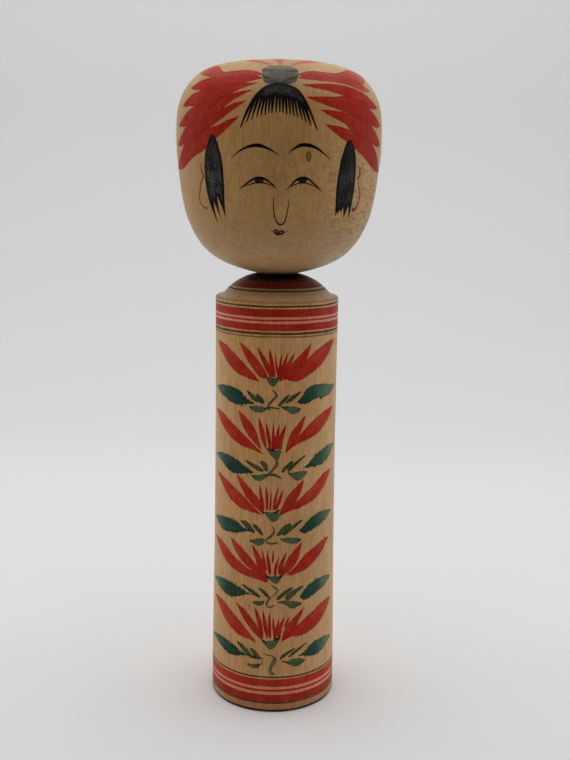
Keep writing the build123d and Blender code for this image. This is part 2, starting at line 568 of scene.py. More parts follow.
def wood_group():
    """Pale close-grained wood in the doll's own coordinates: fibres upright, rings seen on the ends."""
    tree = bpy.data.node_groups.new("pale_wood", "ShaderNodeTree")
    tree.interface.new_socket("Color", in_out="OUTPUT", socket_type="NodeSocketColor")
    tree.interface.new_socket("Grain", in_out="OUTPUT", socket_type="NodeSocketFloat")
    g = Graph(tree)
    place = g.place()
    x, _, z = g.parts(place)
    on_head = g.span(z, *SEAT)
    chin_shade = g.product(on_head, g.span(z, *CHIN))
    from_axis = g.vector("LENGTH", g.vector("MULTIPLY", place, (1, 1, 0)))
    to_left = g.math("DIVIDE", x, g.math("MAXIMUM", from_axis, 1.0))
    base = wood_colour(g, place, on_head, chin_shade, to_left, z)

    # painted shade: the middle of the face, from the nose up and most over the forehead, is darker than the
    # sides, which face the lights; the rest of the head is a little lighter
    middle = g.span(g.math("ABSOLUTE", to_left), 0.50, 0.05, 0.01, 0.15)
    painted_front_shade = g.product(on_head, g.math("SUBTRACT", g.product(g.span(z, 235.0, 252.0), middle), 0.02))

    # brightness: what varies either way, then what darkens, the painted front shade among it
    fine = g.noise(place, (2.3, 2.3, 0.11), 2.0, 0.6)
    pores = g.span(g.noise(place, (2.4, 2.4, 0.30), 2.0, 0.6), 0.60, 0.70)
    tone = g.span(g.noise(place, (1.0, 1.0, 0.03)), 0.25, 0.75, -0.06, 0.06, False)
    dash = g.noise(place, (1.5, 1.5, 0.24), 1.0)
    blotch = g.noise(place, (0.28, 0.28, 0.10))
    for figure, amount in ((fine, 0.14), (dash, 0.09), (blotch, 0.06)):
        tone = g.math("ADD", tone, g.span(figure, 0.3, 0.7, -amount, amount, False))
    late, rippled = late_wood(g, place), ripple(g, place, chin_shade, z)
    for figure, amount in ((late, 0.025), (pores, 0.16), (rippled, 0.34), (painted_front_shade, 1.0)):
        tone = g.math("SUBTRACT", tone, g.product(figure, amount))
    bright = g.math("ADD", tone, 1.0)
    shade = g.joined([g.math("POWER", bright, power) for power in (0.85, 1.0, 1.25)])
    result = g.mix(1.0, base, shade, "MULTIPLY")

    # a small resin mark on the forehead
    spot = g.vector("MULTIPLY", g.vector("SUBTRACT", place, RESIN_MARK), (0.80, 0.3, 0.42))
    spot = g.math("ADD", g.vector("LENGTH", spot), g.product(fine, 0.5))
    mark = g.product(g.span(spot, 1.30, 1.10), g.span(spot, 0.75, 1.05, 0.72, 0.95))
    result = g.mix(mark, result, RESIN)
    out = g.add("NodeGroupOutput")
    g.put(out.inputs["Color"], result)
    g.put(out.inputs["Grain"], g.math("ADD", g.product(fine, 0.6), g.product(pores, -0.7)))
    return tree


PALE_WOOD = wood_group()


# ---------- materials ----------

Paint = namedtuple("Paint", "slot depth material")

WAX_ROUGHNESS = 0.42

# kinds of paint: slot, depth of the face
RED_KIND = ("red_dye", RED_TOP)
GREEN_KIND = ("green_dye", GREEN_TOP)
INK_KIND = ("black_ink", BLACK_TOP)
LINE_KIND = ("black_ink", GREEN_TOP)


def new_material(name, roughness, gloss=0.12):
    material = bpy.data.materials.new(name)
    material.use_nodes = True
    g = Graph(material.node_tree)
    shader = material.node_tree.nodes["Principled BSDF"]
    shader.inputs["IOR"].default_value = 1.5
    shader.inputs["Roughness"].default_value = roughness
    shader.inputs["Specular IOR Level"].default_value = gloss
    wood = g.add("ShaderNodeGroup")
    wood.node_tree = PALE_WOOD
    return material, g, shader, wood


def grain_bump(g, shader, height, strength, distance):
    bump = g.add("ShaderNodeBump")
    bump.inputs["Strength"].default_value = strength
    bump.inputs["Distance"].default_value = distance * MM
    g.put(bump.inputs["Height"], height)
    g.put(shader.inputs["Normal"], bump.outputs[0])


def bare_wood():
    material, g, shader, wood = new_material("waxed_wood", WAX_ROUGHNESS)
    g.put(shader.inputs["Base Color"], wood.outputs["Color"])
    grain_bump(g, shader, wood.outputs["Grain"], 0.25, 0.06)
    return material


def dye(name, kind, passed, deeper=0.0, roughness=WAX_ROUGHNESS, thin=0.8, thick=1.2, fade=(6, 26), tip=1.0,
        pool=0.3, crossing=0.4, gloss=0.12):
    """Dye over wood: the wood's colour times the share of light that passes, to the power of the
    dye's density.  It is denser at the stroke's root, at its rim and where strokes cross."""
    material, g, shader, wood = new_material(name, roughness, gloss)
    coats = g.add("ShaderNodeAttribute", attribute_name="coats").outputs["Fac"]
    brush = g.add("ShaderNodeAttribute", attribute_name="brush").outputs["Vector"]
    along, _, rim = g.parts(brush)
    place = g.place()
    streak = g.noise(g.vector("MULTIPLY", brush, (0.12, 1.7, 0.0)), 1.0)
    soak = g.noise(place, (1.8, 1.8, 0.25), 3.0, 0.6)
    cloud = g.noise(place, 0.16)
    density = g.product(g.span(along, fade[0], fade[1], 1.0, tip),
                        g.span(streak, 0.3, 0.7, thin, thick, False),
                        g.span(soak, 0.3, 0.7, 0.86, 1.14, False),
                        g.span(cloud, 0.3, 0.7, 0.85, 1.15, False))
    density = g.math("ADD", density, g.span(rim, 0.45, 0.0, 0.0, pool))
    density = g.math("ADD", density, g.product(g.math("SUBTRACT", coats, 1.0), crossing))
    tint = g.joined([g.math("POWER", share, density) for share in passed])
    g.put(shader.inputs["Base Color"], g.mix(1.0, wood.outputs["Color"], tint, "MULTIPLY"))
    grain_bump(g, shader, wood.outputs["Grain"], 0.2, 0.05)
    slot, depth = kind
    return Paint(slot, depth + deeper, material)


def hair_ink(name, grey, rim_width, starts, ends):
    """Black ink brushed thin, so that it dried mottled grey in fine streaks inside a darker rim; on the
    fringe that grey, near the crown, is painted sheen.  The grey starts and ends over these distances along
    the brush line."""
    material, g, shader, wood = new_material(name, 0.36, 0.07)
    along, _, rim = g.parts(g.add("ShaderNodeAttribute", attribute_name="brush").outputs["Vector"])
    place = g.place()
    streak = g.noise(place, (1.5, 1.5, 0.7), 3.0, 0.65)
    patch = g.noise(place, (0.16, 0.16, 0.12))
    mottle_and_sheen = g.math("ADD", g.product(streak, 0.6), g.product(patch, 0.4))
    mottle_and_sheen = g.product(g.span(mottle_and_sheen, 0.40, 0.60), g.span(rim, *rim_width),
                     g.product(g.span(along, *starts), g.span(along, *ends)))
    ink = g.mix(mottle_and_sheen, SOLID_INK, colour(grey, grey, grey * 0.93))
    g.put(shader.inputs["Base Color"], ink)
    grain_bump(g, shader, wood.outputs["Grain"], 0.2, 0.05)
    return Paint(*INK_KIND, material)


WOOD = bare_wood()

RED = dye("red_dye", RED_KIND, (0.73, 0.080, 0.078), tip=0.90, pool=0.45, crossing=0.2, gloss=0.08)
# the fans grow denser towards their ends on the head's sides: painted shade that tones down the sheen there
FAN_RED = dye("fan_red_dye", RED_KIND, (0.77, 0.080, 0.073), fade=(20, 60), tip=1.30, crossing=0.12,
              gloss=0.06)
INNER_RED = dye("inner_fan_red_dye", RED_KIND, (0.76, 0.085, 0.075), 0.005, fade=(20, 46), tip=0.50,
                crossing=0.2)
THIN_RED = dye("thin_red_dye", RED_KIND, (0.98, 0.45, 0.48), fade=(0, 12), tip=1.4)
BAND_RED = dye("red_band_dye", RED_KIND, (0.63, 0.066, 0.060), thin=0.88, thick=1.12, pool=0.15)
LIGHT_RED = dye("light_red_band_dye", RED_KIND, (0.76, 0.082, 0.066), thin=0.88, thick=1.12, pool=0.15)
FAINT_RED = dye("faint_red_dye", RED_KIND, (1.24, 0.80, 1.15), 0.01, thin=0.7, thick=1.3, pool=0.0)
LIP = dye("lip_red", RED_KIND, (0.11, 0.03, 0.04))
ORANGE = dye("orange_line", RED_KIND, (0.62, 0.15, 0.11), pool=0.2)
MAROON = dye("maroon_dye", RED_KIND, (0.20, 0.05, 0.07))
DOME_RED = dye("dome_red_dye", RED_KIND, (0.45, 0.078, 0.095), thin=0.88, thick=1.12)
DOME_PINK = dye("dome_pink_dye", RED_KIND, (0.72, 0.45, 0.62), 0.005)

GREEN_LEFT = dye("green_dye", GREEN_KIND, (0.014, 0.142, 0.205), fade=(12, 28), tip=0.42, pool=0.45)
GREEN_RIGHT = dye("pale_green_dye", GREEN_KIND, (0.016, 0.152, 0.215), fade=(3, 19), tip=0.42, pool=0.45)
BAND_GREEN = dye("dark_band_green_dye", GREEN_KIND, (0.15, 0.20, 0.11), thin=0.7, thick=1.3)
LEAF_GREEN = dye("leaf_green_dye", GREEN_KIND, (0.13, 0.35, 0.42), -0.002, thin=0.6, thick=1.4, pool=0.6)
OLIVE = dye("olive_dye", GREEN_KIND, (0.10, 0.25, 0.23), 0.003, thin=0.6, thick=1.4, pool=0.5)
STEM = dye("stem_dye", GREEN_KIND, (0.27, 0.44, 0.38), 0.005, thin=0.7, thick=1.3, pool=0.7)
KNOT_GREEN = dye("knot_green_dye", GREEN_KIND, (0.36, 0.50, 0.66), fade=(2, 9), tip=1.8)
KNOT_DARK = dye("knot_shadow_dye", GREEN_KIND, (0.12, 0.15, 0.18), -0.005)

BLACK = dye("black_ink", INK_KIND, (0.015, 0.02, 0.03), roughness=0.40, gloss=0.08)
THIN_INK = dye("thin_black_ink", INK_KIND, (0.06, 0.055, 0.06), 0.003, roughness=0.40, pool=0.6)
BROWN = dye("brown_line", LINE_KIND, (0.52, 0.42, 0.34), thin=0.6, thick=1.4)
EDGE_BROWN = dye("edge_brown_line", LINE_KIND, (0.72, 0.61, 0.54), thin=0.6, thick=1.4)
DARK_BROWN = dye("dark_brown_line", LINE_KIND, (0.18, 0.12, 0.10), thin=0.7, thick=1.3)
HAIR_LEFT = hair_ink("hair_ink_left", 0.085, (0.7, 1.6), (5, 20, 0.4, 1.0), (30, 24))
HAIR_RIGHT = hair_ink("hair_ink_right", 0.055, (0.7, 1.6), (5, 20, 0.3, 1.0), (30, 24))
# the grey over the top of the fringe is painted sheen
FRINGE_INK = hair_ink("fringe_ink", 0.045, (0.8, 2.0), (0.0, 1.5), (8.0, 5.5))


# ---------- the turned wood ----------

body_wood = lathe("body_wood", np.concatenate([under, sunk(body_side), socket]), BODY_SEGMENTS, "body")
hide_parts("body")
finish(body_wood, WOOD)

head_wood = lathe("head_wood", np.concatenate([tenon, sunk(head_side)]), HEAD_SEGMENTS, "head")
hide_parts("head")
finish(head_wood, WOOD)


# ---------- bands painted on the lathe ----------

SIDE_BANDS = [
    # lower and upper height
    ("foot_edge", 0.4, 1.25, BLACK),
    ("foot_green_low", 4.4, 5.05, BAND_GREEN),
    ("foot_red_low", 5.2, 8.95, BAND_RED),
    ("foot_faint_low", 9.0, 10.6, FAINT_RED),
    ("foot_line", 10.6, 11.6, BAND_RED),
    ("foot_faint_high", 11.7, 13.2, FAINT_RED),
    ("foot_red_high", 13.15, 16.85, LIGHT_RED),
    ("foot_green_high", 17.65, 18.35, BAND_GREEN),
    ("top_brown_line", 181.3, 181.8, BROWN),
    ("top_green_low", 182.55, 183.5, BAND_GREEN),
    ("top_faint_low", 183.8, 184.35, FAINT_RED),
    ("top_red_low", 184.35, 187.4, BAND_RED),
    ("top_faint_middle", 187.5, 188.7, FAINT_RED),
    ("top_line", 188.7, 189.35, BAND_RED),
    ("top_faint_high", 189.45, 190.55, FAINT_RED),
    ("top_red_high", 190.55, 194.0, BAND_RED),
    ("top_green_high", 194.85, 195.55, BAND_GREEN),
    ("edge_brown_line", 196.6, 197.5, EDGE_BROWN),
]
DOME_BANDS = [
    # outer and inner radius
    ("dome_dark_line", 22.75, 22.2, DARK_BROWN),
    ("dome_red", 21.2, 18.4, DOME_RED),
    ("dome_pink_low", 18.4, 17.9, DOME_PINK),
    ("dome_maroon_low", 17.9, 17.2, MAROON),
    ("dome_pink_high", 17.2, 16.75, DOME_PINK),
    ("dome_maroon_high", 16.75, 14.8, MAROON),
    # a dark paint ring round the neck, put in as black ink that also paints the head's shade on it
    ("dome_black_and_shade", 14.8, 9.45, BLACK),
]
for bands, place_of in ((SIDE_BANDS, body_surface.at_height), (DOME_BANDS, body_surface.at_radius)):
    for label, start, end, paint in bands:
        band(label, place_of(start), place_of(end), paint)


# ---------- five chrysanthemums and their leaves on the column ----------

# From the top flower down.  Petals, leaves and small leaves: (one edge from root to tip, inner points
# of the other edge).  Lines, ink, stems and slim leaves: (points, widths at them).  The calyx has the
# corners of a patch.  Points are (x round the column, height).
FLOWERS = [
    {"petals": [
      ([(-7.5, 161.2), (-13, 167), (-20, 172.2), (-28, 176.5), (-35, 177.2)],
       [(-12, 162), (-20, 164.5), (-28, 170.3), (-33, 174.6)]),
      ([(-3.5, 163), (-5.3, 167), (-9, 171.8), (-13, 175.5), (-17.9, 178.4)],
       [(-6, 162.8), (-10, 166.3), (-14, 171.4)]),
      ([(3.2, 162.3), (5.3, 167.3), (9.3, 171.3), (13.5, 175.2), (17.1, 178.5)],
       [(6, 162.3), (11, 166.5), (15.2, 172)]),
      ([(5.5, 162), (10, 166.5), (16, 172), (23, 176), (30, 178.3), (35, 178.6)],
       [(10, 161.4), (16, 163.8), (23, 167.6), (30, 173.4)])],
     "lines": [
      ([(-8.6, 177), (-7, 173.8), (-4.8, 170), (-3, 166.5), (-1.8, 163.3)], [0, 1.4, 2.3, 2.4, 1.6]),
      ([(-2.8, 176.5), (-2.4, 173), (-1.6, 169), (-0.6, 163.5)], [0, 1.5, 1.9, 1.2]),
      ([(0, 175.8), (0.2, 170), (0.9, 166), (1.6, 163.5)], [0, 0.8, 1.2, 0.9]),
      ([(2.9, 174.8), (2.4, 171), (1.9, 167), (1.7, 164)], [0, 0.9, 1.2, 1]),
      ([(5.8, 174.8), (4.5, 171), (3.3, 167.5), (2.4, 161.6)], [0, 1.2, 1.6, 1.3]),
      ([(9, 175), (7, 171), (5, 167.5), (3.5, 163.5)], [0, 1.5, 2.5, 2.5])],
     "calyx": [(-4.1, 163.1), (-1.2, 162.8), (1.8, 163.3), (0.6, 160.6), (-0.4, 159.1), (-1.6, 159.2),
      (-3.1, 160.9)],
     "ink": [],
     "stems": [
      ([(-1.2, 157.2), (0, 156.2), (0.6, 155), (-0.3, 153.6), (-2, 151.8), (-3, 150.3), (-3.2, 149.3),
        (-2.4, 148.2)],
       [0.6, 0.9, 1.3, 1.2, 1.1, 1, 1.2, 1]),
      ([(-3.5, 149.2), (-0.5, 149.2), (1.8, 148.7)], [0.8, 0.8, 0.8])],
     "leaves": [
      ([(-9.5, 150.9), (-14, 153), (-18, 156.2), (-22, 157), (-30, 156.8), (-37, 155)],
       [(-14, 150.2), (-20, 149.5), (-25, 150.8), (-32, 153)]),
      ([(10.3, 151.6), (12.5, 154), (15, 157), (19, 158.8), (26, 158.3), (37, 156.7)],
       [(13, 150.7), (16, 151), (19, 152.3), (24, 152.5), (30, 153)])],
     "small": [
      ([(-3.5, 149.2), (-7, 149.6), (-10, 149.7), (-12.5, 149.1)],
       [(-5, 147.4), (-8, 146.8), (-10.8, 147.4)]),
      ([(2.5, 149.8), (5, 149.9), (9, 149.5), (12.2, 148.6)], [(5.5, 147.8), (8.5, 146.3), (10.8, 146.8)])],
     "slim": [
      ([(-13.9, 156.7), (-11.5, 154.6), (-9.3, 152.9), (-7, 152.2), (-5.4, 151.4)], [0, 1.5, 1.8, 1.3, 0.7]),
      ([(-8.9, 155), (-7.2, 153.6), (-5.3, 151.2)], [0.6, 1.6, 0.8]),
      ([(12.3, 156.4), (9.8, 154.9), (7.3, 153.2), (5, 151.5)], [0, 1.2, 1.6, 0.6]),
      ([(6.8, 155.3), (4.8, 153.4), (3, 151.6), (1.7, 150.1)], [0, 1.1, 1.2, 0.8])]},
    {"petals": [
      ([(-5.3, 127.4), (-9, 130.8), (-14, 134.8), (-20, 139), (-27, 142.8), (-37, 144.2)],
       [(-10, 129), (-17, 130.7), (-24, 134), (-31, 138.8)]),
      ([(-6.1, 129.3), (-7.4, 133.5), (-9, 138.5), (-12.3, 142.6), (-18.1, 146.3)],
       [(-8.8, 131.8), (-13, 136), (-16.2, 141)]),
      ([(5, 128.5), (5.7, 132), (7.3, 136.8), (10.3, 140.8), (14.9, 145.4)],
       [(7.5, 130), (10.5, 134.5), (13.2, 140)]),
      ([(5.3, 128.4), (8.5, 133), (13, 137.3), (20, 142.8), (27, 145.7), (35, 146.4)],
       [(9, 131.2), (15, 133.3), (21, 135.4), (28, 140), (32.5, 144)])],
     "lines": [
      ([(-7.6, 145), (-7, 142), (-5.9, 137.5), (-4.9, 133.5), (-4.1, 130.6)], [0, 1.2, 2.3, 1.8, 0.8]),
      ([(-4.2, 142.6), (-3.6, 139.5), (-2.8, 135.5), (-2.2, 132), (-2, 129.9)], [0, 1.2, 1.7, 1.5, 1.2]),
      ([(-0.7, 143), (-0.7, 138), (-0.5, 133.5), (-0.5, 129.7)], [0, 1, 1.7, 1.2]),
      ([(2.2, 142), (1.6, 138.5), (0.9, 134.5), (0.5, 130)], [0, 1.1, 1.7, 1.2]),
      ([(5.2, 142), (4, 138), (2.7, 134.5), (2.3, 130)], [0, 1.6, 2.6, 2])],
     "calyx": [(-4.2, 130.6), (-2, 129.6), (0.5, 129.3), (3.1, 129.2), (2.6, 127.2), (1.4, 124.9),
      (0.2, 125.2), (-1.3, 126.8), (-2.9, 128.9)],
     "ink": [
      ([(-2.1, 130), (-0.9, 129.5), (0.4, 128.9)], [0.3, 1.0, 0.3])],
     "stems": [
      ([(0.6, 124.8), (1.1, 124), (1.3, 122.8), (0.4, 121.5), (-0.8, 120), (-2, 118.7), (-2.4, 117.8)],
       [0.6, 1, 1.5, 1.2, 1, 1.2, 1.2]),
      ([(-2, 117.6), (0, 117.7), (2, 116.8), (3.5, 115.9)], [1, 1.3, 1.1, 0.5])],
     "leaves": [
      ([(-9.7, 118.2), (-13, 119.9), (-17, 122.3), (-21, 123.6), (-27, 124.4), (-36.5, 122.4)],
       [(-13, 117.6), (-18, 116.8), (-22, 116.7), (-26, 118.1), (-31, 120.6)]),
      ([(14, 120.3), (16.5, 121.9), (20, 125.2), (24, 126.8), (30, 128.3), (37.5, 127.8)],
       [(20, 120.3), (26, 120.9), (30, 122.7), (34, 125)])],
     "small": [
      ([(-1.5, 118), (-4, 118), (-7.5, 117.4), (-11.3, 116.9)], [(-4, 116.3), (-6.5, 114.5), (-9.3, 115.2)]),
      ([(6.1, 118.9), (9, 118.5), (12, 118.9), (16.2, 118.4)], [(8, 116.8), (10.8, 114.8), (14, 115.7)])],
     "slim": [
      ([(-14, 123.6), (-11, 122), (-8, 120.7), (-5.2, 119.2)], [0, 1.3, 1.8, 0.7]),
      ([(-6.5, 123.6), (-4.8, 122.5), (-3.9, 120.8), (-3.9, 119.3)], [0.8, 1.9, 1.7, 0.8]),
      ([(15, 126.2), (12, 124.3), (9, 122), (6.3, 119.4)], [0.3, 1, 1.3, 1]),
      ([(8.8, 123.8), (6.8, 122.3), (5, 120.7), (3.6, 119)], [0.6, 1.3, 1.3, 0.7])]},
    {"petals": [
      ([(-5.6, 98.2), (-9.3, 101.6), (-14.3, 105.8), (-20, 109.4), (-27, 112.6), (-35, 114.2)],
       [(-9.5, 99.2), (-16, 100.3), (-21, 102.4), (-29, 108.8)]),
      ([(-4.6, 98.7), (-5.1, 102.5), (-8, 106.7), (-12.5, 111.5), (-18.8, 116.2)],
       [(-8, 101.2), (-12.5, 105.2), (-16, 110)]),
      ([(2.3, 97.8), (3.6, 101.6), (6, 106.9), (9.5, 110.6), (14.3, 114.9)],
       [(6, 100.3), (10, 104.3), (13, 109.2)]),
      ([(2.5, 97.8), (6.3, 101.4), (12.5, 105.8), (20, 111.3), (27, 115.6), (33.5, 116.5)],
       [(6.5, 100), (13, 101.7), (20, 104.2), (27, 109.1), (31.5, 114)])],
     "lines": [
      ([(-6.9, 113), (-6.4, 110), (-6, 107), (-5.4, 103.5), (-5, 101)], [0, 1, 1.6, 1.8, 1]),
      ([(-4, 112.3), (-3.4, 109), (-3.2, 105), (-3.3, 101)], [0, 1.2, 1.5, 0.9]),
      ([(-1.4, 111), (-1.4, 107), (-1.6, 103.5), (-1.9, 100.8)], [0, 0.7, 0.9, 0.8]),
      ([(2.1, 112), (1.2, 108.5), (0.5, 105), (0.1, 101)], [0, 1, 1.4, 1]),
      ([(4.2, 110.8), (3.2, 107.5), (2, 104), (1, 101)], [0, 1.3, 1.6, 1])],
     "calyx": [(-4.7, 100), (-3, 99.8), (-0.5, 99.7), (2, 100.3), (2.6, 98.8), (1.6, 96), (0, 95.3),
      (-2, 96.5), (-3.8, 98.7)],
     "ink": [
      ([(-0.2, 99.2), (1.5, 100.2), (3.3, 101.2)], [0.3, 0.8, 0.3]),
      ([(-5.1, 99.6), (-4.5, 99)], [0.5, 0.5])],
     "stems": [
      ([(-0.8, 93.2), (0, 92), (0.2, 90.3), (-0.8, 88.6), (-2.5, 87.2), (-3.6, 86)],
       [0.4, 0.6, 1, 1.2, 1, 0.8]),
      ([(-3.6, 85.6), (-2, 84.7), (0, 84.7), (2.2, 85.3)], [0.6, 0.9, 0.9, 0.5])],
     "leaves": [
      ([(-9.5, 90.2), (-14, 90.8), (-17.5, 92.6), (-21, 93.7), (-28, 93.4), (-38, 91)],
       [(-14, 89.4), (-18, 88), (-22, 87.3), (-27, 86.9), (-33, 88.6)]),
      ([(12.2, 90.3), (14.5, 92.3), (18, 95.2), (22, 96.8), (27, 97.2), (34.5, 95.5)],
       [(14.5, 88.8), (18, 89.3), (23, 90.8), (29, 92.8)])],
     "small": [
      ([(-4, 86.6), (-6.5, 86.8), (-9, 86.2), (-11.5, 85.2)], [(-5, 84.3), (-7.5, 83.3), (-9.5, 84.2)]),
      ([(3, 87), (6.5, 87.3), (10, 87), (13.7, 85.9)], [(6, 85.2), (8.5, 84.3), (11.3, 84.4)])],
     "slim": [
      ([(-16.5, 94), (-13.5, 93), (-11, 91), (-9, 89.5)], [0.3, 2.2, 2, 0.6]),
      ([(-10, 93.4), (-7.8, 91.7), (-6.2, 90), (-4.9, 88.6)], [0.5, 1.7, 1.3, 0.5]),
      ([(14, 95.4), (11, 93.6), (8, 91.6), (4.5, 88.8)], [0.3, 1.1, 1.6, 0.8]),
      ([(8, 93.8), (5.5, 92), (3.5, 90.3), (1.9, 88.7)], [0.8, 2.2, 1.8, 0.8])]},
    {"petals": [
      ([(-2.2, 65.5), (-6, 69), (-13, 71.9), (-20, 76), (-27, 80.2), (-37, 81.8)],
       [(-8, 66.8), (-15, 68.2), (-22, 70.4), (-30, 75.7)]),
      ([(-2.4, 66), (-6, 71), (-10, 76), (-15, 80.6), (-22.4, 84.8)],
       [(-7, 69.5), (-13, 72.8), (-18.5, 78)]),
      ([(-2.4, 66.6), (-3.4, 71.5), (-5.5, 77), (-10.3, 83.9)], [(-6, 69.5), (-8.2, 75.8)]),
      ([(3.6, 69), (5, 73.3), (7.3, 78), (10.3, 81.3), (13.7, 84.6)], [(7, 70.5), (11, 74.8), (12.9, 80)]),
      ([(7, 68.7), (10.5, 72.7), (15, 77.6), (22, 81.2), (28, 83.1), (32.5, 83.2)],
       [(11, 69.4), (16, 70.8), (22, 74.3), (28, 79)])],
     "lines": [
      ([(-5.3, 82.3), (-4.7, 78.5), (-4, 74.5), (-3.2, 71.5)], [0, 1, 1.4, 0.8]),
      ([(-2.7, 82), (-2.5, 78), (-2, 74), (-1.3, 69.5)], [0, 1.1, 1.8, 0.8]),
      ([(0, 81.8), (-0.1, 78.5), (-0.4, 75)], [0, 0.9, 0.4]),
      ([(2.9, 78.7), (1.9, 75.8), (1.2, 72.5), (1, 69)], [0, 0.9, 1.5, 0.9]),
      ([(6.6, 80.9), (5, 77.5), (3.7, 73.5), (3.2, 69.5)], [0, 1.2, 2.2, 1.4]),
      ([(5.8, 69), (8.5, 70.6), (11, 72.5)], [0.3, 0.6, 0.5])],
     "calyx": [(-3.2, 69), (-1.3, 68.4), (1, 68.6), (3.3, 68.8), (4.5, 69.2), (3.3, 67), (2, 65.4),
      (0.4, 65.5), (-1.4, 67)],
     "ink": [
      ([(-3.3, 69.4), (-2.7, 68.4), (-2.2, 67.5)], [0.3, 1, 0.3]),
      ([(2.6, 68.3), (3.6, 68.7), (4.6, 69.2)], [0.3, 0.9, 0.3])],
     "stems": [
      ([(-0.6, 64.2), (1, 63), (2.2, 61.8), (1.3, 60.2), (-0.5, 58.4), (-2, 56.8), (-2.8, 55), (-2.5, 53.7),
        (-1, 53.5), (1, 54.6)],
       [0.4, 0.8, 0.7, 0.5, 0.4, 0.8, 1, 0.6, 0.8, 0.4])],
     "leaves": [
      ([(-9.5, 58.6), (-13, 59.6), (-17, 61.4), (-22, 62.4), (-29, 62.3), (-38.5, 60)],
       [(-13, 58.5), (-17, 56.9), (-21, 55.5), (-26, 55.9), (-32, 57.6)]),
      ([(13, 57.4), (14.3, 59.5), (16.8, 62), (21, 63.8), (27, 64.4), (34.5, 62.6)],
       [(15, 55.9), (19, 56.8), (25, 58.6), (30, 60.3)])],
     "small": [
      ([(-3.8, 56.2), (-6, 56.1), (-9.8, 55.3)], [(-4.8, 54.5), (-6.8, 53.9)]),
      ([(2, 55.8), (5.5, 56.5), (8, 56.2), (11, 55.6), (14.3, 54.3)],
       [(5.5, 54.6), (8, 52.8), (10, 52.3), (12, 53)])],
     "slim": [
      ([(-15, 62.9), (-11.5, 61.2), (-8.5, 59.6), (-5.8, 58.1)], [0.3, 1.2, 1.5, 0.5]),
      ([(-6.7, 62.4), (-5, 61.4), (-3.2, 59.7), (-1.6, 57.9)], [0.5, 1.2, 1.3, 0.5]),
      ([(9.5, 62.6), (6.5, 61), (4, 59), (2, 57.2)], [0.3, 1.4, 1.5, 0.7]),
      ([(14.8, 62.6), (11.3, 61), (8.5, 59.2), (6.3, 57)], [0.4, 1.7, 2.6, 1.6])]},
    {"petals": [
      ([(-7.3, 35.2), (-10.5, 38.8), (-15, 43.5), (-21, 48.1), (-28, 51.6), (-35.8, 51.7)],
       [(-10.5, 36.3), (-17, 37.6), (-23, 41), (-30, 46.7)]),
      ([(-4.5, 36.6), (-6, 41.5), (-9.2, 46.2), (-13.2, 50.3), (-18.3, 53.3)],
       [(-8, 39.4), (-12.5, 44.3), (-16, 49.3)]),
      ([(-4.2, 37), (-4.4, 42.5), (-5.6, 47.8), (-8.5, 53)], [(-5.8, 41), (-7.6, 46.8)]),
      ([(4.3, 36.1), (5.2, 40.5), (7.3, 44.8), (11, 48.4), (15.1, 52.2)],
       [(7.3, 38.3), (11, 43), (13.8, 48.2)]),
      ([(4.4, 36), (8, 40.5), (13.5, 44.7), (20, 48.6), (27, 51.4), (35.3, 51.7)],
       [(7.5, 37.8), (15, 38.2), (22, 40.7), (29, 45.1)])],
     "lines": [
      ([(-4.5, 52), (-4.1, 48.5), (-3.4, 44.5), (-2.6, 40.5), (-2.4, 38)], [0, 1.2, 1.9, 1.6, 0.6]),
      ([(-1.4, 51), (-1.4, 47), (-1.2, 42.5), (-1, 38)], [0, 1.1, 1.4, 1]),
      ([(0.4, 48.8), (0.4, 45), (0.9, 41.5), (1.2, 37.5)], [0, 1, 1.4, 1.2]),
      ([(3.2, 48.2), (2.6, 45), (1.8, 41.5), (1.3, 38)], [0, 0.9, 1, 1]),
      ([(5.7, 48.8), (4.4, 45.5), (3.3, 42), (3, 38.8)], [0, 1.4, 1.9, 1.8]),
      ([(8.3, 48.3), (6.8, 45.8), (6, 43.3)], [0, 1.2, 1.5])],
     "calyx": [(-5.2, 36.9), (-3.5, 36.2), (-1.5, 36.3), (0.5, 36.9), (2.5, 37.8), (3.8, 38.8), (3, 36.5),
      (1.5, 33.8), (0, 32.3), (-1.5, 32.6), (-3.5, 34.8)],
     "ink": [
      ([(0.5, 36.9), (2.2, 37.6), (3.8, 38.9)], [0.3, 0.9, 0.4]),
      ([(-4.3, 36.7), (-3.3, 36)], [0.7, 0.7])],
     "stems": [
      ([(-4, 30.2), (-2.3, 29.4), (0, 28.9), (1, 28.4)], [0.4, 0.6, 0.5, 0.8]),
      ([(1.2, 28.2), (1.3, 26.8), (0.2, 24.5), (-0.7, 22.5), (-0.6, 20.8), (0.2, 20), (1.2, 19.9)],
       [1.2, 1.8, 1.9, 1.5, 1.5, 1.4, 0.6]),
      ([(-4.8, 28), (-4.5, 26), (-5, 24.2)], [0.4, 0.4, 0.4])],
     "leaves": [
      ([(-10, 27.9), (-14, 28.5), (-18, 30.5), (-22, 32), (-28, 32.7), (-38, 30.6)],
       [(-14, 27.6), (-18, 26.6), (-22, 26.1), (-26, 26.9), (-32, 29)]),
      ([(12, 28.2), (15.5, 29), (19, 32), (23, 33.2), (29, 33), (35.5, 31)],
       [(16, 27.3), (21, 26.2), (26, 27), (31, 28.9)])],
     "small": [
      ([(-5.2, 24.6), (-8, 24.2), (-12.3, 23.5)], [(-6.3, 22.8), (-8, 22), (-10, 22.6)]),
      ([(3.1, 26.6), (7, 26), (10, 26.7), (12.5, 26.5), (16.3, 25.1)],
       [(7.5, 24.6), (11.5, 22.8), (14, 23.6)])],
     "slim": [
      ([(-17.5, 33.8), (-14.5, 31.8), (-12, 29.7), (-9.5, 27.9), (-7, 27.3)], [0.4, 1.6, 2, 1.2, 0.4]),
      ([(-10.5, 31.8), (-8.3, 30), (-6.5, 28), (-5, 27.2)], [0.4, 1.8, 1.5, 0.5]),
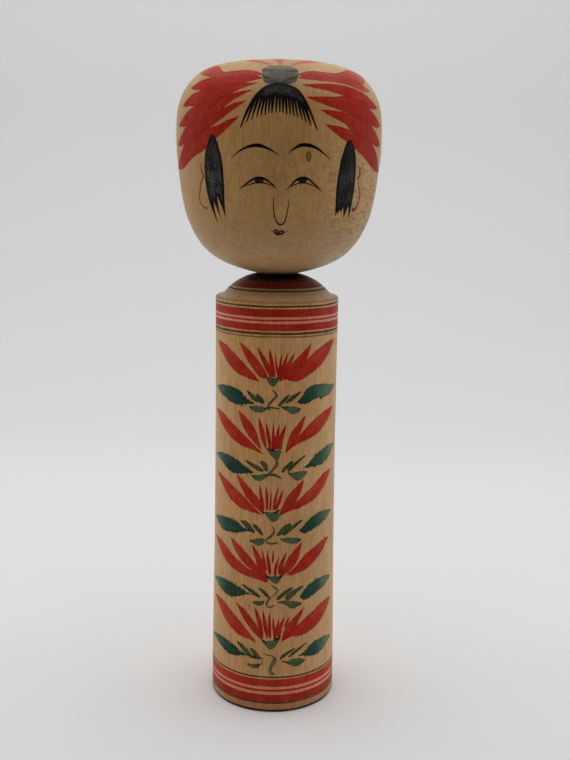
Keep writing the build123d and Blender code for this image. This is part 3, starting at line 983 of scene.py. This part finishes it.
      ([(17, 33.8), (13.5, 31.8), (10.5, 29.9), (8, 28)], [0.4, 0.9, 1, 0.6]),
      ([(11, 31.8), (7.5, 30.3), (5.3, 28.8), (3.7, 27.4)], [0.4, 1.1, 1.3, 0.6])]},
]


def whiskers_of(leaf):
    """Hairs of dye above and below the broad part of a leaf, where it was wettest."""
    edge, other = leaf
    way = 1 if edge[-1][0] > edge[0][0] else -1
    found = []
    for _ in range(9):
        reach = chance.uniform(3.0, 17.0)
        x = edge[0][0] + way * reach
        for line, up in ((edge, 1), ([edge[0]] + other + [edge[-1]], -1)):
            row = sorted(line)
            height = float(np.interp(x, [p[0] for p in row], [p[1] for p in row]))
            found.append(whisker(x, height - 0.6 * up, height + up * chance.uniform(0.3, 1.6),
                                 chance.uniform(0.2, 0.45)))
    return found


def soaked(shape, strokes, amount, step=0.35):
    """Strokes made by that function, with edges that crept along the grain."""
    return [bled(shape(*stroke, step), amount) for stroke in strokes]


def paint_flower(label, flower):
    red = soaked(between, flower["petals"], 0.5) + soaked(brushed, flower["lines"], 0.4)
    film(label + "_red", red, column, RED)
    for side_name, leaf, paint in zip(("left", "right"), flower["leaves"], (GREEN_LEFT, GREEN_RIGHT)):
        film(f"{label}_leaf_{side_name}", soaked(between, [leaf], 0.6) + whiskers_of(leaf), column, paint)
    small = soaked(between, flower["small"], 0.45) + [bled(blot(flower["calyx"]), 0.35)]
    film(label + "_small_leaves", small, column, LEAF_GREEN)
    slim = [(points, [1.2 * width for width in widths]) for points, widths in flower["slim"]]
    film(label + "_slim_leaves", soaked(brushed, slim, 0.4), column, OLIVE)
    film(label + "_stems", [brushed(*line) for line in flower["stems"]], column, STEM)
    if flower["ink"]:
        film(label + "_ink", [brushed(*line, 0.3) for line in flower["ink"]], column, BLACK, 0.8)


for number, flower in enumerate(FLOWERS, 1):
    paint_flower(f"flower_{number}", flower)


# ---------- hair ----------

# red paper-cord ornament: broad strokes that fan out from the knot, as edges on the crown's chart,
# then narrow ones between them as (points, widths at them)
LEFT_FAN = [
    ([(-21.2, -57.6), (-27, -58.8), (-34, -58.9), (-42, -57.9), (-52, -54.8), (-58, -50.7), (-65, -45.2),
      (-71, -39.6), (-75.5, -33.7), (-78.7, -27), (-80.7, -20), (-82, -10)],
     [(-28, -56.3), (-35, -54.7), (-41.8, -51), (-50, -46), (-57, -40), (-62.5, -35.3), (-67, -31.8),
      (-71.5, -28), (-75.5, -23.5), (-79.5, -16)]),
    ([(-16, -52.6), (-22, -53.6), (-29, -53.9), (-36, -53), (-41.8, -51), (-50, -48), (-57, -42),
      (-62.5, -35.3), (-65.7, -31.5), (-68.2, -26.5), (-69.5, -20.5)],
     [(-22, -51.5), (-28, -50.4), (-36, -47), (-45, -43), (-50, -39.3), (-54, -35.8), (-57, -32.3),
      (-61, -29.3), (-65.5, -24.5)]),
    ([(-12, -49), (-18, -49.6), (-24, -49.9), (-29, -50.3), (-37, -49.8), (-45, -45.5), (-50, -41),
      (-54, -35.9), (-57.2, -31), (-59.6, -25.5), (-60.8, -21)],
     [(-17, -48), (-23, -46.6), (-30, -44), (-38, -40), (-44, -35.6), (-48, -32.2), (-53, -28.5),
      (-57.5, -24.3)]),
    ([(-9, -46.2), (-15, -46.6), (-20, -46.6), (-24, -46.5), (-31, -45), (-38, -41), (-44, -35.8),
      (-47.2, -31), (-49.8, -26.5), (-51.3, -22.5)],
     [(-14, -45), (-20, -42), (-28, -38.5), (-34, -35), (-37.4, -32.6), (-43, -28), (-47.5, -24.8)]),
    ([(-7, -44), (-13, -44.4), (-20, -43.6), (-28, -40.5), (-34, -36.3), (-37.2, -33), (-39.6, -29.3),
      (-41.6, -25.5), (-42.5, -22)],
     [(-12, -41), (-20, -38), (-26, -35), (-31, -30.5), (-34, -27.5), (-38, -24.8)]),
]
RIGHT_FAN = [
    ([(27, -58.3), (33, -58.3), (40, -57), (47, -54.5), (55, -50.8), (60, -47.5), (65, -44), (70, -39.5),
      (75, -33.5), (78, -28), (80.5, -21.5), (82, -11)],
     [(32, -56), (38, -53), (43.5, -49.9), (49, -45.3), (56, -39.5), (62, -35.2), (66.5, -31), (70, -27.7),
      (75, -23.2), (79, -17.5)]),
    ([(22, -54), (27, -53.9), (33, -52.6), (38, -51), (43.5, -49.9), (50, -46.8), (57, -41.2), (61.6, -35.5),
      (64.2, -32), (66.7, -28), (68.2, -23), (68.7, -18.5)],
     [(26, -52.2), (30, -50.2), (34, -48.1), (38.8, -45.2), (44, -40.5), (49, -36.3), (51.5, -34.9),
      (55, -32), (58, -29.5), (62, -26), (65.5, -22.3)]),
    ([(13.5, -51.5), (20, -51.6), (26, -50.4), (31, -48.9), (35, -47.3), (38.8, -45.2), (44, -42.3),
      (49, -38), (51.5, -35.1), (55, -31.5), (57.6, -28), (59.6, -23), (60.3, -17.5)],
     [(18, -49.8), (23, -47.4), (27, -45.1), (32.3, -40.5), (38, -36), (43, -32.8), (46, -30.9), (50, -28),
      (54, -24.6), (57.5, -21)]),
    ([(10.5, -46.6), (17, -46.1), (23, -44.4), (28, -42.7), (32.3, -40.7), (38, -38.2), (42.5, -35.2),
      (45.5, -31.8), (48.9, -28), (50.9, -24), (52, -18.5)],
     [(15, -44.8), (20, -42.3), (25, -39.2), (30.5, -35.7), (36, -31.9), (40, -28.8), (45, -25.2),
      (49, -22)]),
]
INNER_FAN = [
    ([(-6.8, -42.2), (-13, -41.8), (-20, -39.9), (-26, -36), (-30.5, -31), (-33.6, -25), (-35.5, -19),
      (-36.8, -11), (-37.5, -3)],
     [(-13, -37.6), (-20, -34.6), (-24.8, -31.5), (-25.8, -26), (-27.5, -18), (-30, -10)]),
    ([(8.5, -43.8), (13, -43.1), (20, -40.8), (25, -38.2), (30, -35.1), (36, -31.2), (40, -27.9),
      (42.6, -24), (43.7, -19.5)],
     [(14, -39.5), (20, -37), (26, -33), (32, -28), (38, -24)]),
    ([(8, -42), (14, -41.5), (20, -39.3), (26, -35.5), (32, -31), (37, -26), (39.2, -22), (39.7, -15),
      (40, -5)],
     [(13, -37.8), (20, -34.8), (24.5, -31.8), (27.5, -27), (30, -20), (33.5, -13)]),
]
TOP_STROKES = [
    ([(-3, -36.5), (-8, -31), (-12, -25), (-14, -18), (-17, -6), (-18, 4)], [0.3, 2.6, 3.6, 4.0, 3.4, 0]),
    ([(0.5, -36.5), (0, -29), (-1, -18), (-1, -5), (-1, 9)], [0.3, 3.5, 5, 5, 0]),
    ([(5, -36), (9, -31), (13.5, -25), (16, -18), (18, -7), (19, 4)], [0.3, 3, 5, 5, 4, 0]),
]
FANS = ("left", LEFT_FAN, FAN_RED), ("right", RIGHT_FAN, FAN_RED), ("inner", INNER_FAN, INNER_RED)
for label, fan, paint in FANS:
    film("hair_red_" + label, [bled(between(*stroke), 0.3) for stroke in fan], crown, paint)
film("hair_red_top", [brushed(*stroke) for stroke in TOP_STROKES], crown, THIN_RED)

# the ornament's green knot, as corners of a patch, with its darker strokes
KNOT = [
    (-6.8, -46), (-7.2, -42.5), (-6.8, -38.5), (-4, -36.8), (0.5, -36.3), (5, -36.8), (7.8, -38.5),
    (8.4, -42.5), (7.6, -45.8), (4, -47.6), (-3.5, -47.6),
]
KNOT_STROKES = [
    ([(-7.2, -38.9), (-5, -39.8), (-2.3, -39.5)], [1.2, 1.5, 0.3]),
    ([(-7.2, -42.4), (-5.6, -44.2), (-3.2, -44.6)], [0.6, 1.3, 0.3]),
    ([(2.2, -39.6), (5, -39.9), (8.3, -39)], [0.3, 1.5, 1.2]),
    ([(3.2, -44.8), (6, -44.3), (8.4, -42.4)], [0.3, 1.3, 0.7]),
    ([(-5.5, -47.2), (-2, -46.2), (0, -47.6), (2.5, -46.3), (6, -47)], [0.3, 0.7, 1.1, 0.7, 0.3]),
]
film("hair_knot", [blot(KNOT)], crown, KNOT_GREEN)
film("hair_knot_strokes", [brushed(*stroke) for stroke in KNOT_STROKES], crown, KNOT_DARK)

# fringe: a cap with a comb of blunt teeth that lean outward, tips and gaps from the doll's left
FRINGE_LINE = ((0, -47), (0, -60))      # the way that the fringe was brushed
BLUNT_TIP = 0.3                         # half the width of a tooth's tip
SWELLING = 0.07                         # share of a gap's width that a tooth gains half-way up
FRINGE_TOP = [
    (-22.7, -62.2), (-20, -59.6), (-16, -55.6), (-12, -52), (-8, -49.2), (-4, -47.6), (0, -47), (4, -47.5),
    (9, -49.1), (12, -51.4), (16, -55.2), (20, -59.3), (23.7, -62.5),
]
TEETH = [
    (22.9, -62.6), (18.7, -62.2), (15.7, -61.7), (13.3, -61.4), (10.6, -60.9), (8.5, -60.9), (6.4, -60.2),
    (4.5, -60.5), (2.4, -60), (0.8, -59.9), (-1.3, -60), (-3.5, -60.1), (-5.1, -60.1), (-7.2, -60.7),
    (-9.5, -60.7), (-11.9, -60.8), (-14.9, -61.2), (-18, -61.5), (-22, -62.3),
]
GAPS = [
    (14.6, -55.8), (12.8, -56.5), (11.2, -56.2), (8.5, -54), (7.3, -54.4), (5.8, -54), (4.2, -53.6),
    (2.8, -54.6), (1.2, -53.3), (-0.2, -53.5), (-1.5, -52.8), (-3.6, -53.9), (-4.9, -53.5), (-6.4, -54.4),
    (-7.7, -53.9), (-8.7, -53), (-11, -53.9), (-14, -55.7),
]


def comb(top, teeth, gaps, step=0.25):
    """A patch with a smooth upper edge and blunt, slightly swollen teeth below it."""
    corners = [top[-1]]
    blunt = np.array([BLUNT_TIP, 0.0])
    for tooth, gap, following in zip(teeth, gaps, teeth[1:]):
        tip, root, onward = np.array(tooth) - blunt, np.array(gap), np.array(following) + blunt
        swell = (onward - tip) * SWELLING
        corners += [tip, (tip + root) / 2 + swell, root, (onward + root) / 2 - swell, onward]
    corners += [top[0]]
    lower = evenly(np.array([tuple(corner) for corner in corners]), step)
    outline = np.concatenate([smooth_line(top, step)[:-1], lower[:-1]])
    return Stroke(outline, np.linspace(*FRINGE_LINE, 40))


film("hair_fringe", [comb(FRINGE_TOP, TEETH, GAPS)], crown, FRINGE_INK)

# sideburns and all that follows: (degrees round the face, height)
LEFT_SIDEBURN = [
    (-36.5, 269.3), (-34.6, 267.8), (-33, 265.5), (-31, 260), (-30.3, 255), (-30.3, 250), (-30.5, 245),
    (-31, 240), (-31.5, 234.1), (-33, 238.5), (-35.7, 243.8), (-35.6, 240), (-35.3, 233.9), (-37, 238),
    (-38.6, 241.5), (-38.9, 238), (-38.4, 231.4), (-40.4, 236.5), (-42, 240.5), (-43, 245), (-43.5, 250),
    (-43.2, 256), (-42, 261), (-39.5, 266), (-38, 268.2),
]
RIGHT_SIDEBURN = [
    (40.3, 268), (38.6, 266.8), (37, 264.5), (35, 259), (34, 252), (33.8, 247), (34.3, 242), (35, 238),
    (35.7, 235.5), (36.2, 237.5), (37.2, 236.5), (38.1, 238.4), (39.6, 237.2), (40.4, 239.5), (42.5, 234.8),
    (43.4, 237.5), (44.3, 240), (45.6, 237.4), (46.8, 233.9), (47.1, 240), (47.2, 245), (47.3, 250),
    (46.8, 256), (45.5, 261), (43.5, 265.5), (42, 267.2),
]


def on_face(points):
    """Degrees round the face and height, as millimetres on the face's chart."""
    return [(azimuth * FACE_MM_PER_DEGREE, height) for azimuth, height in points]


def outlined(corners, step=0.4):
    """A patch whose outline runs straight from corner to corner, with its brush line upright."""
    ring = np.asarray(corners + corners[:1], float)
    outline = evenly(ring, step)[:-1]
    high, low = outline[outline[:, 1].argmax()], outline[outline[:, 1].argmin()]
    return Stroke(outline, np.linspace(high, low, 80))


film("hair_sideburn_left", [outlined(on_face(LEFT_SIDEBURN))], face, HAIR_LEFT)
film("hair_sideburn_right", [outlined(on_face(RIGHT_SIDEBURN))], face, HAIR_RIGHT)


# ---------- face ----------

# lines of the face: (points, widths at them)
EARS = [
    ([(-45.4, 257.5), (-46.1, 255.5), (-45.9, 254), (-44.5, 251.7)], [0.4, 0.7, 0.9, 0.8]),
    ([(-44.5, 251.6), (-46.5, 249.8), (-48.3, 247), (-49.8, 244), (-50.4, 242), (-49.8, 240), (-48.1, 238.7),
      (-46, 238.1), (-43.8, 238.3)],
     [0.8, 0.85, 0.85, 0.7, 0.7, 0.7, 0.7, 0.65, 0.5]),
    ([(47.8, 257.3), (49.5, 256.2), (50.5, 254.5), (50.8, 253), (49.4, 251.8), (48.6, 251.6)],
     [0.4, 0.7, 0.9, 1.0, 0.9, 0.7]),
    ([(49.6, 251.5), (51, 248.5), (52.9, 245.5), (53.5, 243), (52.9, 240.5), (51.3, 238.6), (49.8, 238),
      (48.3, 238.8)],
     [0.45, 0.6, 0.7, 0.8, 0.9, 1.1, 1.4, 1.1]),
]
BROWS_AND_EYES = [
    ([(-25, 259), (-20, 262.2), (-15, 264), (-10.5, 264.5), (-5.5, 263.4), (0.3, 260.6)],
     [0.1, 0.6, 1.1, 1.5, 0.95, 0.1]),
    ([(4.9, 261.2), (8, 263.2), (12, 264.8), (16, 264.8), (20, 263.8), (24, 261.8), (28.8, 259)],
     [0.1, 0.7, 1.4, 1.5, 1.05, 0.6, 0.1]),
    ([(-21.4, 246.1), (-18, 248.1), (-15, 249.8), (-12, 251), (-9, 251.3), (-6, 250.5), (-4, 249.4),
      (-0.2, 246.7)],
     [0.1, 0.55, 0.8, 0.95, 1.0, 0.8, 0.65, 0.1]),
    ([(-19, 247.3), (-15, 248.5), (-10, 249.2), (-6, 248.9), (-2, 247.7)], [0.1, 0.42, 0.45, 0.42, 0.1]),
    ([(4.5, 246.2), (7, 248.2), (10, 250.6), (13, 251.5), (16, 251.2), (19, 249.6), (22, 247.7),
      (25.4, 245.4)],
     [0.1, 0.55, 0.85, 1.0, 0.9, 0.7, 0.55, 0.1]),
    ([(5.5, 247.2), (9, 248.6), (13, 249.4), (18, 248.8), (22, 247.4)], [0.1, 0.42, 0.45, 0.42, 0.1]),
    ([(-2, 243.5), (-2.1, 240), (-1.7, 236.3), (-0.5, 233.4), (1.5, 231.9), (3.5, 232.2), (5, 234.8),
      (6, 239), (6.4, 243)],
     [0.18, 0.4, 0.52, 0.6, 0.64, 0.6, 0.5, 0.38, 0.12]),
    ([(-4.5, 229.5), (-3.2, 229.1), (-2, 228.8)], [0.12, 0.28, 0.4]),
    ([(4.2, 228.4), (5.7, 228.9), (6.8, 229.4)], [0.4, 0.28, 0.12]),
]
LIPS = [
    ([(-2.4, 228.9), (-1.2, 229.4), (-0.1, 229.3), (1, 228.7), (2.1, 229.1), (3.1, 229.1), (4.4, 228.4)],
     [0.3, 0.8, 0.85, 0.7, 0.65, 0.85, 0.35]),
    ([(-2.3, 228.8), (-0.8, 228.1), (1, 227.8), (2.8, 228), (4.5, 228.5)], [0.35, 1.1, 1.25, 1.0, 0.35]),
]
# corners of two patches
PUPILS = [[(-12.2, 249.6), (-12.3, 250.8), (-10, 251.4), (-7.7, 251), (-7.5, 249.6), (-9.8, 249.2)],
          [(11, 250), (11, 251.2), (13.3, 251.8), (15.5, 251.3), (15.6, 250), (13.3, 249.5)]]


def drawn(strokes, step=0.25):
    return [brushed(on_face(points), widths, step) for points, widths in strokes]


film("ear_lines", drawn(EARS, 0.3), face, ORANGE, 0.8)
film("face_lines", drawn(BROWS_AND_EYES), face, BLACK, 0.8)
film("pupils", [blot(on_face(corners), 0.3) for corners in PUPILS], face, THIN_INK, 0.6)
film("lips", drawn(LIPS), face, LIP, 0.6)


# ---------- studio, in metres ----------

CAMERA_PLACE = (0.0043, -0.4780, 0.2493)
CAMERA_PITCH = 79.02            # degrees from straight down
CAMERA_ROLL = 0.82
CAMERA_LENS = 48.1              # mm, for the 36 mm sensor

SOFTBOXES = [
    # name, place, point it faces, width, height, watts
    ("top_light", (0.0, 0.0, 1.00), (0.0, 0.0, 0.0), 1.3, 1.2, 10.0),
    ("left_light", (-0.85, 0.15, 0.42), (0.0, 0.05, 0.15), 0.9, 0.8, 2.1),
    ("right_light", (0.85, 0.15, 0.42), (0.0, 0.05, 0.15), 0.9, 0.8, 2.0),
]
WORLD_GREY = 0.03

PAPER = (0.80, 0.80, 0.80)
PAPER_SIDE = 1.8                # half of the paper's width
PAPER_FRONT = -1.6              # where the floor begins
PAPER_BEND = 0.45               # where it begins to turn up
PAPER_RADIUS = 0.35             # radius of that turn
PAPER_TOP = 2.4


def softbox(name, place, aim, width, height, watts):
    light = bpy.data.lights.new(name, "AREA")
    light.shape = "RECTANGLE"
    light.size = width
    light.size_y = height
    light.energy = watts
    thing = bpy.data.objects.new(name, light)
    thing.location = place
    thing.rotation_euler = (Vector(aim) - Vector(place)).to_track_quat("-Z", "Y").to_euler()
    bpy.context.scene.collection.objects.link(thing)


def sweep():
    """Pale paper: a floor that turns up into the backdrop."""
    bend = [(PAPER_BEND + PAPER_RADIUS * math.sin(a), PAPER_RADIUS - PAPER_RADIUS * math.cos(a))
            for a in np.linspace(0, math.pi / 2, 24)]
    line = [(PAPER_FRONT, 0.0)] + bend + [(PAPER_BEND + PAPER_RADIUS, PAPER_TOP)]
    points = [(x, y, z) for y, z in line for x in (-PAPER_SIDE, PAPER_SIDE)]
    faces = [(2 * k, 2 * k + 1, 2 * k + 3, 2 * k + 2) for k in range(len(line) - 1)]
    mesh = bpy.data.meshes.new("sweep")
    mesh.from_pydata(points, [], faces)
    mesh.polygons.foreach_set("use_smooth", [True] * len(faces))
    paper = bpy.data.materials.new("paper")
    paper.use_nodes = True
    shader = paper.node_tree.nodes["Principled BSDF"]
    shader.inputs["Base Color"].default_value = colour(*PAPER)
    shader.inputs["Roughness"].default_value = 0.9
    shader.inputs["Specular IOR Level"].default_value = 0.2
    mesh.materials.append(paper)
    thing = bpy.data.objects.new("sweep", mesh)
    bpy.context.scene.collection.objects.link(thing)


def studio():
    scene = bpy.context.scene
    scene.view_settings.view_transform = "Standard"
    camera = bpy.data.objects.new("camera", bpy.data.cameras.new("camera"))
    scene.collection.objects.link(camera)
    camera.data.lens = CAMERA_LENS
    camera.location = CAMERA_PLACE
    camera.rotation_mode = "QUATERNION"
    camera.rotation_quaternion = (Quaternion((1, 0, 0), math.radians(CAMERA_PITCH))
                                  @ Quaternion((0, 0, 1), math.radians(CAMERA_ROLL)))
    scene.camera = camera
    scene.world = bpy.data.worlds.new("studio")
    scene.world.use_nodes = True
    scene.world.node_tree.nodes["Background"].inputs["Color"].default_value = colour(*[WORLD_GREY] * 3)
    for box in SOFTBOXES:
        softbox(*box)
    sweep()


studio()
